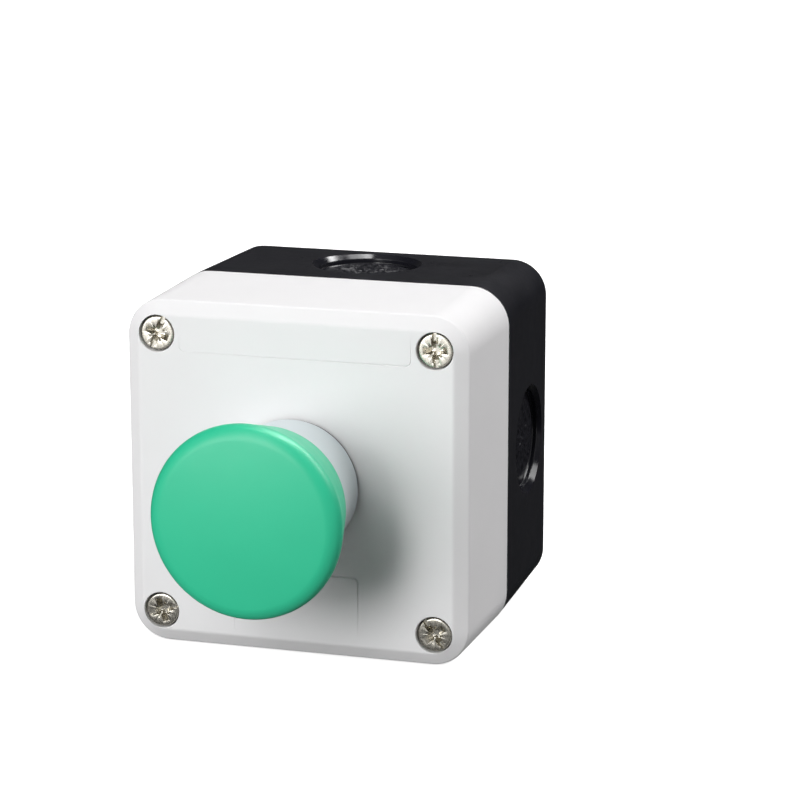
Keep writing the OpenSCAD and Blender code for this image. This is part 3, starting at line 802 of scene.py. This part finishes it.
def coil(name, node, wire, turns):
    """A coil in the space of the measured spring, with its first and last turns lying flat."""
    low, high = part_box(node)
    centre = (low + high) / 2 / MM
    ring = (high.x - low.x) / MM / 2 - wire / 2
    bottom = height(high) + wire / 2
    rise = height(low) - height(high) - wire
    total = int(turns * WIRE_STEPS)
    vertices = []
    for i in range(total + 1):
        angle = 2 * math.pi * i / WIRE_STEPS
        along = (i / WIRE_STEPS - end_turns) / (turns - 2 * end_turns)
        along = min(1, max(0, along))
        along = along * along * (3 - 2 * along) * ease + along * (1 - ease)
        flat = wire * end_rise * min(i / WIRE_STEPS, end_turns) / end_turns
        flat -= wire * end_rise * (1 - min(turns - i / WIRE_STEPS, end_turns) / end_turns)
        up = min(bottom + rise, max(bottom, bottom + flat * 0.5 + along * rise))
        for j in range(WIRE_SIDES):
            tube = 2 * math.pi * j / WIRE_SIDES
            reach = ring + wire / 2 * math.cos(tube)
            vertices.append((centre.x + reach * math.cos(angle),
                             -(up + wire / 2 * math.sin(tube)),
                             centre.z + reach * math.sin(angle)))
    faces = []
    for i in range(total):
        faces += band(i * WIRE_SIDES, (i + 1) * WIRE_SIDES, WIRE_SIDES)
    faces.append(tuple(range(WIRE_SIDES)))
    faces.append(tuple(range(len(vertices) - WIRE_SIDES, len(vertices))))
    piece = new_piece(name, vertices, faces)
    smooth(piece, 60)
    return piece


# Each spring has: the measured spring, wire in mm, turns, the body that carries it, the joint that
# presses it and by how many millimetres. The last one rides along and keeps its length.
springs = {
    "return_coil": ("return_spring", 1.2, 6.5, "station", "button_press", 4.5),
    "no_plunger_coil": ("no_plunger_spring", 0.5, 6, "station", "no_plunger_press", 4.5),
    "nc_plunger_coil": ("nc_plunger_spring", 0.5, 5.5, "station", "nc_plunger_press", 4.5),
    "no_contact_coil": ("no_contact_spring", 0.5, 4.5, "no_slider", "no_plunger_press", 1.62),
    "nc_contact_coil": ("nc_contact_spring", 0.5, 4.5, "nc_contact", None, 0),
}
spring_pieces = {name: coil(name, *facts[:3]) for name, facts in springs.items()}

# %% [markdown]
# ## Finishes
# Every finish is built from noise in object space, so it keeps its scale and can't slide over the
# surface. Photographed textures would be quicker, but they need unwrapped meshes and bring their
# own light with them. These helpers are the few steps that all the finishes share.

# %% Colours
def srgb(*values):
    """Linear colour of an 8-bit display colour."""
    def linear(value):
        value /= 255
        return value / 12.92 if value <= 0.04045 else ((value + 0.055) / 1.055) ** 2.4
    return tuple(linear(value) for value in values) + (1,)


def shade(colour, factor):
    """The colour made lighter or darker."""
    return tuple(min(1, value * factor) for value in colour[:3]) + (1,)


print("a display grey of 128 is", round(srgb(128)[0], 3), "in linear light")

# %% Node helpers for numbers
def shader(name):
    """A new material, its nodes, its links and its main shader."""
    material = bpy.data.materials.new(name)
    material.use_nodes = True
    nodes = material.node_tree.nodes
    return material, nodes, material.node_tree.links, nodes["Principled BSDF"]


def noise_value(nodes, links, size_mm, detail=3.0, rough_share=0.5, seed=0.0):
    """Noise whose cells are about size_mm wide, in object space."""
    texture = nodes.new("ShaderNodeTexNoise")
    texture.noise_dimensions = "4D"
    texture.inputs["W"].default_value = seed
    texture.inputs["Scale"].default_value = 1 / (size_mm * MM)
    texture.inputs["Detail"].default_value = detail
    texture.inputs["Roughness"].default_value = rough_share
    links.new(nodes.new("ShaderNodeTexCoord").outputs["Object"], texture.inputs["Vector"])
    return texture.outputs["Fac"]


def spread(nodes, links, value, low, high, out_low, out_high):
    """Maps the range low..high of a value onto out_low..out_high."""
    node = nodes.new("ShaderNodeMapRange")
    node.inputs["From Min"].default_value = low
    node.inputs["From Max"].default_value = high
    node.inputs["To Min"].default_value = out_low
    node.inputs["To Max"].default_value = out_high
    links.new(value, node.inputs["Value"])
    return node.outputs["Result"]


def calculate(nodes, links, operation, first, second):
    """A sum, product or maximum of two values."""
    node = nodes.new("ShaderNodeMath")
    node.operation = operation
    links.new(first, node.inputs[0])
    links.new(second, node.inputs[1])
    return node.outputs[0]


print("noise with cells of 5 mm has a scale of", round(1 / (5 * MM)))

# %% Node helpers for colour and bumps
def blend_colour(nodes, links, factor, first, second):
    """Mixes two colours, each of which may be fixed or come from a node."""
    node = nodes.new("ShaderNodeMix")
    node.data_type = "RGBA"
    links.new(factor, node.inputs["Factor"])
    for socket, colour in ((node.inputs[6], first), (node.inputs[7], second)):
        if isinstance(colour, tuple):
            socket.default_value = colour
        else:
            links.new(colour, socket)
    return node.outputs[2]


def grain(nodes, links, principled, layers):
    """Chains bumps, given as (height value, depth in mm)."""
    normal = None
    for value, depth_mm in layers:
        bump = nodes.new("ShaderNodeBump")
        bump.inputs["Strength"].default_value = 1
        bump.inputs["Distance"].default_value = depth_mm * MM
        links.new(value, bump.inputs["Height"])
        if normal is not None:
            links.new(normal, bump.inputs["Normal"])
        normal = bump.outputs["Normal"]
    links.new(normal, principled.inputs["Normal"])


print(len(bpy.data.materials), "materials so far")

# %% [markdown]
# A moulded plastic has a faint drift of its colour, the fine grain that the mould left, a
# roughness that varies where hands have polished it, and walls that are never quite flat. One
# glossy shader with a plain colour would look like a toy, so each of the four has its own noise.

# %% Moulded plastic
patch_mm = 16
handled_mm = 5
wave_mm = 22
wave_depth = 0.04
polish_share = 0.5


def plastic(name, colour, roughness, grain_mm, grain_depth, drift, specular=0.5):
    """Moulded plastic. drift is how far its colour varies."""
    material, nodes, links, principled = shader(name)
    patches = noise_value(nodes, links, patch_mm, 2)
    tone = blend_colour(nodes, links, spread(nodes, links, patches, 0.3, 0.7, 0, 1),
                        shade(colour, 1 - drift), shade(colour, 1 + drift * 0.5))
    fine = noise_value(nodes, links, grain_mm, 2, 0.6, 3.0)
    specks = spread(nodes, links, fine, 0.35, 0.75, 0, 0.12)
    tone = blend_colour(nodes, links, specks, tone, shade(colour, 1 - 3 * drift))
    links.new(tone, principled.inputs["Base Color"])
    handled = noise_value(nodes, links, handled_mm, 4, 0.65, 7.0)
    matt = spread(nodes, links, handled, 0.3, 0.7, roughness - 0.05, roughness + 0.06)
    polished = nodes.new("ShaderNodeAttribute")
    polished.attribute_name = "polish"
    dulled = spread(nodes, links, polished.outputs["Fac"], 0, 1, 1, polish_share)
    links.new(calculate(nodes, links, "MULTIPLY", matt, dulled), principled.inputs["Roughness"])
    principled.inputs["Specular IOR Level"].default_value = specular
    waves = noise_value(nodes, links, wave_mm, 1, 0.4, 11.0)
    grain(nodes, links, principled, [(fine, grain_depth), (waves, wave_depth)])
    return material


finishes = {
    "base_plastic": plastic("black_plastic", srgb(23, 23, 29), 0.32, 0.34, 0.001, 0.12,
                            specular=0.24),
    "cover_plastic": plastic("light_grey_plastic", srgb(228, 227, 228), 0.6, 0.4, 0.003, 0.012,
                             specular=0.1),
    "cap_plastic": plastic("green_plastic", srgb(44, 186, 142), 0.4, 0.4, 0.0015, 0.03,
                           specular=0.4),
    "collar_plastic": plastic("grey_plastic", srgb(222, 230, 233), 0.45, 0.4, 0.003, 0.015),
    "dark_plastic": plastic("dark_plastic", srgb(44, 46, 49), 0.45, 0.4, 0.008, 0.08),
    "pale_plastic": plastic("pale_plastic", srgb(198, 198, 192), 0.42, 0.4, 0.004, 0.03),
    "green_plastic": plastic("plunger_green_plastic", srgb(46, 140, 84), 0.4, 0.4, 0.004, 0.04),
    "red_plastic": plastic("plunger_red_plastic", srgb(190, 48, 42), 0.4, 0.4, 0.004, 0.04),
}
print(len(finishes), "plastics")

# %% [markdown]
# The metals are small pieces: plated screws, spring wire, brass strips and silver tips. What tells
# them from a mirror is their tool marks and a little tarnish. So a fine noise makes them rougher in
# places and bumps the surface, and a coarser one brings a brown stain.

# %% Metal with fine tool marks
tarnish_mm = 1.1


def metal(name, colour, roughness, streak_mm, streak_depth=0.004, stain=(60, 50, 40),
          stain_share=0.25):
    """Bare or plated metal. stain_share is how strong its tarnish is at the most."""
    material, nodes, links, principled = shader(name)
    principled.inputs["Metallic"].default_value = 1
    spots = noise_value(nodes, links, tarnish_mm, 4, 0.6, 5.0)
    dirty = spread(nodes, links, spots, 0.5, 0.78, 0, stain_share)
    tone = blend_colour(nodes, links, dirty, colour, srgb(*stain))
    links.new(tone, principled.inputs["Base Color"])
    fine = noise_value(nodes, links, streak_mm, 3, 0.6, 2.0)
    links.new(spread(nodes, links, fine, 0.3, 0.75, roughness - 0.07, roughness + 0.12),
              principled.inputs["Roughness"])
    grain(nodes, links, principled, [(fine, streak_depth)])
    return material


finishes["screw_steel"] = metal("zinc_plated_steel", srgb(192, 188, 178), 0.26, 0.3, 0.0006,
                                stain_share=0.15)
finishes["spring_steel"] = metal("spring_steel", srgb(188, 190, 194), 0.3, 0.2)
finishes["contact_brass"] = metal("contact_brass", srgb(206, 172, 96), 0.3, 0.2, 0.003,
                                  stain=(96, 62, 30))
finishes["contact_silver"] = metal("contact_silver", srgb(226, 226, 222), 0.24, 0.2, 0.002)
print("with the metals:", len(finishes))

# %% [markdown]
# Seal rubber is nearly black and dull, with the grey bloom that rubber gets as it ages. A patchy
# blend of two greys gives the bloom, and the same noise makes the bloomed places duller.

# %% Rubber
bloom_mm = 3
rubber_grain_mm = 0.3
rubber_grain_depth = 0.006


def rubber(name, colour):
    """Dull rubber with a lighter bloom."""
    material, nodes, links, principled = shader(name)
    bloom = noise_value(nodes, links, bloom_mm, 4, 0.6, 1.0)
    tone = blend_colour(nodes, links, spread(nodes, links, bloom, 0.35, 0.75, 0, 1), colour,
                        shade(colour, 1.6))
    links.new(tone, principled.inputs["Base Color"])
    links.new(spread(nodes, links, bloom, 0.3, 0.7, 0.62, 0.8), principled.inputs["Roughness"])
    fine = noise_value(nodes, links, rubber_grain_mm, 2, 0.5, 4.0)
    grain(nodes, links, principled, [(fine, rubber_grain_depth)])
    return material


finishes["seal_rubber"] = rubber("seal_rubber", srgb(38, 38, 40))
print("with the rubber:", len(finishes))

# %% Give each measured piece its finish
for row in frame["record"]["subparts"]:
    node = frame["nodes"][row["node"]]
    node.data.materials.clear()
    node.data.materials.append(finishes[row["material_slot"]])
print(len(finishes), "finishes on", len(frame["nodes"]), "measured pieces")

# %% [markdown]
# ## Putting the pieces in place
# Each finished piece replaces the measured one and rides on the body that carries it: the box
# stays on the wall, and the cap goes in with the button. The springs keep their length, so in the
# pressed pose they would stick out of their seats. The four that are pressed each get a mesh of
# their own.

# %% Ride, replace and finish
def fit(piece, body, slot_name, *nodes):
    """Puts a finished piece in the place of the measured one."""
    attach(piece, body)
    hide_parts(*nodes)
    piece.data.materials.clear()
    piece.data.materials.append(finishes[slot_name])


fit(base_shell, "station", "base_plastic", "base_housing")
fit(cover_shell, "station", "cover_plastic", "front_cover")
fit(collar_tube, "station", "collar_plastic", "bezel_collar")
fit(mushroom, "button", "cap_plastic", "mushroom_cap")
for screw in screw_pieces:
    fit(screw, "station", "screw_steel", "cover_screws")
print(4 + len(screw_pieces), "outer pieces in place")

# %% Seat the springs
for name, (node, wire, turns, body, pressed_by, shorter) in springs.items():
    fit(spring_pieces[name], body, "spring_steel", node)
    if pressed_by is None:
        continue
    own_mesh(spring_pieces[name])

# %% [markdown]
# ## The studio
# A white table and a white background, as for a catalogue. They are white to the camera and
# through glass, and they add next to no light of their own to the object. In reflections they are
# white in front of the object and dark behind it. A white wall behind it would wash out the black
# plastic, which shows no such wall in the real picture, while the screws do mirror a white table.

# %% What sees the white surroundings
front_white = 0.7
white_until = -0.4


def shown_share(nodes, links, source, dark_from, rear_white):
    """1 for the camera and through glass, 0 for light. What metal and gloss mirror is front_white
    where the source's Y is below white_until, and rear_white where it is past dark_from."""
    place = nodes.new("ShaderNodeSeparateXYZ")
    links.new(nodes.new("ShaderNodeTexCoord").outputs[source], place.inputs["Vector"])
    reflected = spread(nodes, links, place.outputs["Y"], white_until, dark_from, front_white,
                       rear_white)
    ray = nodes.new("ShaderNodeLightPath")
    direct = calculate(nodes, links, "MAXIMUM", ray.outputs["Is Camera Ray"],
                       ray.outputs["Is Transmission Ray"])
    mirrored = calculate(nodes, links, "MULTIPLY", ray.outputs["Is Glossy Ray"], reflected)
    return calculate(nodes, links, "MAXIMUM", direct, mirrored)


print("in reflections the front is", front_white, "of white")

# %% [markdown]
# The floor keeps the shadow of the object, so it can't be pure light. It is nearly white where it
# is seen. It also glows, with three quarters of white near the object, where the shadow falls, and
# with full white further off. Bounced light finds it grey, so that it doesn't light the object
# from below.

# %% Build the floor
floor_size = 6
floor_seen = (0.9, 0.9, 0.9, 1)
floor_bounce = (0.2, 0.2, 0.2, 1)
floor_mirrored = (0.015, 0.015, 0.015, 1)
glow_near = 0.75
glow_from = 0.15
glow_full = 1.2
floor_dark_from = -0.05
floor_rear_white = 0.003
bpy.ops.mesh.primitive_plane_add(size=floor_size, location=(0, 0, cad_box[0][2]))
floor = bpy.context.object
floor.name = "floor"
floor_material, nodes, links, principled = shader("floor_white")
principled.inputs["Roughness"].default_value = 0.9
principled.inputs["Specular IOR Level"].default_value = 0.1
floor.data.materials.append(floor_material)
seen = shown_share(nodes, links, "Object", floor_dark_from, floor_rear_white)
ray = nodes.new("ShaderNodeLightPath")
bounce = blend_colour(nodes, links, ray.outputs["Is Glossy Ray"], floor_bounce, floor_mirrored)
links.new(blend_colour(nodes, links, seen, bounce, floor_seen), principled.inputs["Base Color"])
away = nodes.new("ShaderNodeVectorMath")
away.operation = "LENGTH"
links.new(nodes.new("ShaderNodeTexCoord").outputs["Object"], away.inputs[0])
lift = spread(nodes, links, away.outputs["Value"], glow_from, glow_full, glow_near, 1.0)
principled.inputs["Emission Color"].default_value = (1, 1, 1, 1)
links.new(calculate(nodes, links, "MULTIPLY", seen, lift), principled.inputs["Emission Strength"])
print("floor at", round(cad_box[0][2] / MM, 2), "mm")

# %% Build the background
ambient = 0.03
world_dark_from = 0.1
world_rear_white = 0.01
world = bpy.data.worlds.new("studio")
scene.world = world
world.use_nodes = True
nodes = world.node_tree.nodes
links = world.node_tree.links
seen = shown_share(nodes, links, "Generated", world_dark_from, world_rear_white)
background = nodes["Background"]
background.inputs["Color"].default_value = (1, 1, 1, 1)
links.new(spread(nodes, links, seen, 0, 1, ambient, 1), background.inputs["Strength"])
print("the background lights the object with", ambient, "of its white")

# %% [markdown]
# ## The lights
# A tall key light and a wide soft one stand in front and to the left. They draw the shadow of the
# cap down and to the right, and two weak ones soften it. Lamps above and behind light the top and
# the right side. One big dome would be simpler, but it would flatten the box. A thin strip hangs
# where the flare of the upper knockout mirrors it toward the camera. It is hidden from diffuse
# rays, so it draws that crescent without making the cover's top too bright.

# %% Hang the lights
lamps_aim = Vector((0, -0.05, 0))


def area_light(name, azimuth, elevation, distance, wide, tall, watts, spin=0):
    """A light that looks at the box. Azimuth 0 is straight ahead of the front, and grows to the
    right. Angles are in degrees and lengths in metres."""
    turn, rise = math.radians(azimuth), math.radians(elevation)
    away = Vector((math.sin(turn) * math.cos(rise), -math.cos(turn) * math.cos(rise),
                   math.sin(rise)))
    data = bpy.data.lights.new(name, "AREA")
    data.shape = "RECTANGLE"
    data.size = wide
    data.size_y = tall
    data.energy = watts
    light = bpy.data.objects.new(name, data)
    scene.collection.objects.link(light)
    light.location = lamps_aim + distance * away
    facing = away.to_track_quat("Z", "Y") @ Quaternion((0, 0, 1), math.radians(spin))
    light.rotation_euler = facing.to_euler()
    return light


lamps = [
    area_light("key", -8, 19, 1.0, 0.2, 0.45, 4.2),
    area_light("left", -28, 11, 1.0, 0.5, 0.5, 4.2),
    area_light("front_top", -10, 40, 0.4, 0.15, 0.15, 0.29),
    area_light("strip", 136, 69, 0.45, 0.06, 0.48, 2.8, spin=12),
    area_light("top", 105, 75, 1.0, 0.3, 0.3, 2.9),
    area_light("rear_top", 180, 55, 1.0, 0.42, 0.42, 2.4),
    area_light("rear_right", 118, 36, 1.0, 0.46, 0.46, 6.1),
    area_light("fill", 55, 45, 0.7, 0.2, 0.2, 0.12),
]
scene.objects["strip"].visible_diffuse = False
scene.view_settings.view_transform = "Standard"
print(len(lamps), "lamps,", round(sum(lamp.data.energy for lamp in lamps), 1), "watts")
